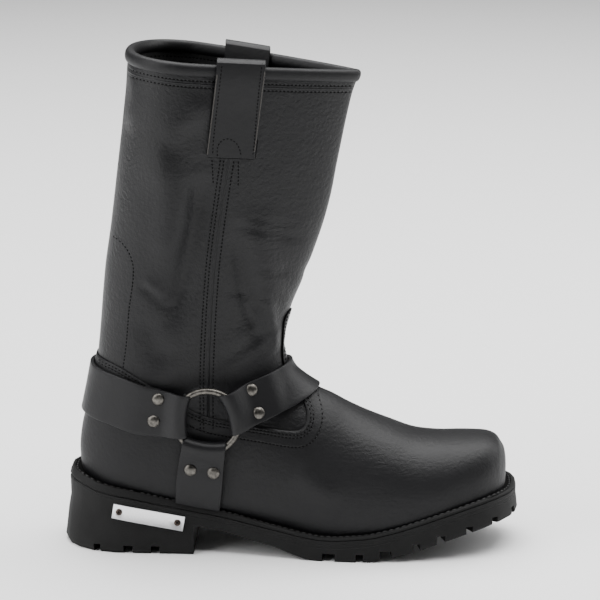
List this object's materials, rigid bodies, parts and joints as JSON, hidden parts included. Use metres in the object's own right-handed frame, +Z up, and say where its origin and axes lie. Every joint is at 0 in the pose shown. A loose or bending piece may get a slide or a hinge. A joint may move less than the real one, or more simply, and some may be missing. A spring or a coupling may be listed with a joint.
{
  "type": "harness boot",
  "caption": "Pull-on leather boot for the right foot with a tall shaft, harness straps joined by rings, pull straps and a heeled rubber lug sole.",
  "frame": {"origin": "middle of the boot's box at the floor", "axes": "+X to the toe, +Y to the inner (medial) side, +Z up; the boot stands on its heel and ball"},
  "size_m": [0.324, 0.1216, 0.3543],
  "materials": {
    "oiled_leather": "black oiled full-grain leather with a soft sheen and flex wrinkles",
    "strap_leather": "black smooth strap leather with paler cut edges",
    "sole_rubber": "matte black moulded rubber",
    "insole_leather": "brown leather board",
    "dark_nickel": "antiqued dark nickel plate with worn bright edges",
    "plate_aluminium": "bright satin aluminium"
  },
  "bodies": {
    "root": {"upper": "oiled_leather", "collar_binding": "oiled_leather", "outsole": "sole_rubber", "welt": "sole_rubber", "insole": "insole_leather", "strap_back": "strap_leather", "strap_instep": "strap_leather", "strap_under_lateral": "strap_leather", "strap_under_medial": "strap_leather", "pull_strap_lateral": "strap_leather", "pull_strap_medial": "strap_leather", "ring_lateral": "dark_nickel", "ring_medial": "dark_nickel", "rivet_back_lateral_1": "dark_nickel", "rivet_back_lateral_2": "dark_nickel", "rivet_back_medial_1": "dark_nickel", "rivet_back_medial_2": "dark_nickel", "rivet_instep_lateral_1": "dark_nickel", "rivet_instep_lateral_2": "dark_nickel", "rivet_instep_medial_1": "dark_nickel", "rivet_instep_medial_2": "dark_nickel", "rivet_under_lateral_1": "dark_nickel", "rivet_under_lateral_2": "dark_nickel", "rivet_under_medial_1": "dark_nickel", "rivet_under_medial_2": "dark_nickel", "heel_plate": "plate_aluminium", "plate_screw_1": "plate_aluminium", "plate_screw_2": "plate_aluminium"}
  },
  "joints": []
}
